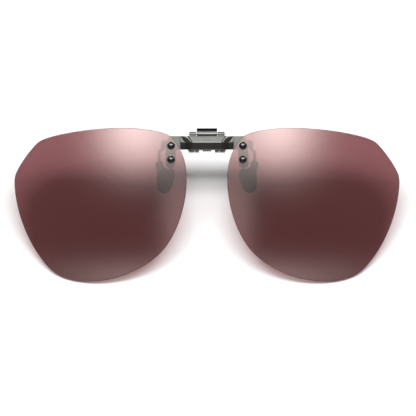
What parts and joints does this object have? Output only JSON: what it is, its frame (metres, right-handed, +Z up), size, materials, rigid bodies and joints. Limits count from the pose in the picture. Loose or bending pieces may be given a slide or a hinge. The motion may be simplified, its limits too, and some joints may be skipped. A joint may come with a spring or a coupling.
{
  "type": "clip on sunglasses",
  "caption": "Flip-up clip on sunglasses: rimless tinted lenses on a metal bridge that swings on a sprung clip with silicone paddles.",
  "frame": {"origin": "middle of the grip: on the centre plane, between the front and rear paddles, where a spectacle lens is held", "axes": "+X to the wearer's left (right as seen from the front), -Y towards the front, +Z up"},
  "size_m": [0.14, 0.0126, 0.0558],
  "materials": {
    "tinted_lens": "wine red polarised laminated plastic, clear gloss",
    "gunmetal": "brushed, gunmetal plated",
    "black_screw": "polished black plating",
    "spring_steel": "bright drawn wire",
    "silicone": "soft satin black silicone",
    "nylon": "milky nylon"
  },
  "bodies": {
    "clip_body": {"clip_frame": "gunmetal", "flip_pin": "spring_steel", "jaw_pin": "spring_steel", "jaw_spring": "spring_steel", "detent_spring": "spring_steel", "detent_rivet_left": "spring_steel", "detent_rivet_right": "spring_steel", "front_wire_left": "spring_steel", "front_paddle_left": "silicone", "front_wire_right": "spring_steel", "front_paddle_right": "silicone"},
    "rear_jaw": {"jaw_lever": "gunmetal", "rear_wire_left": "spring_steel", "rear_paddle_left": "silicone", "rear_wire_right": "spring_steel", "rear_paddle_right": "silicone"},
    "lens_carrier": {"bridge_bar": "gunmetal", "lens_left": "tinted_lens", "lens_plate_left": "gunmetal", "lens_screw_upper_left": "black_screw", "lens_bush_upper_left": "nylon", "lens_nut_upper_left": "gunmetal", "lens_screw_lower_left": "black_screw", "lens_bush_lower_left": "nylon", "lens_nut_lower_left": "gunmetal", "lens_right": "tinted_lens", "lens_plate_right": "gunmetal", "lens_screw_upper_right": "black_screw", "lens_bush_upper_right": "nylon", "lens_nut_upper_right": "gunmetal", "lens_screw_lower_right": "black_screw", "lens_bush_lower_right": "nylon", "lens_nut_lower_right": "gunmetal"}
  },
  "joints": [
    {"name": "flip_hinge", "type": "hinge", "parent": "clip_body", "child": "lens_carrier", "pos_m": [0, -0.006, 0.0175], "axis": [-1, 0, 0], "range_deg": [0, 90], "deforming": ["detent_spring"]},
    {"name": "jaw_hinge", "type": "hinge", "parent": "clip_body", "child": "rear_jaw", "pos_m": [0, -0.0012, 0.012], "axis": [1, 0, 0], "range_deg": [0, 20], "stiffness_Nm_per_rad": 0.03, "springref_deg": -34.38, "deforming": ["jaw_spring"]}
  ]
}
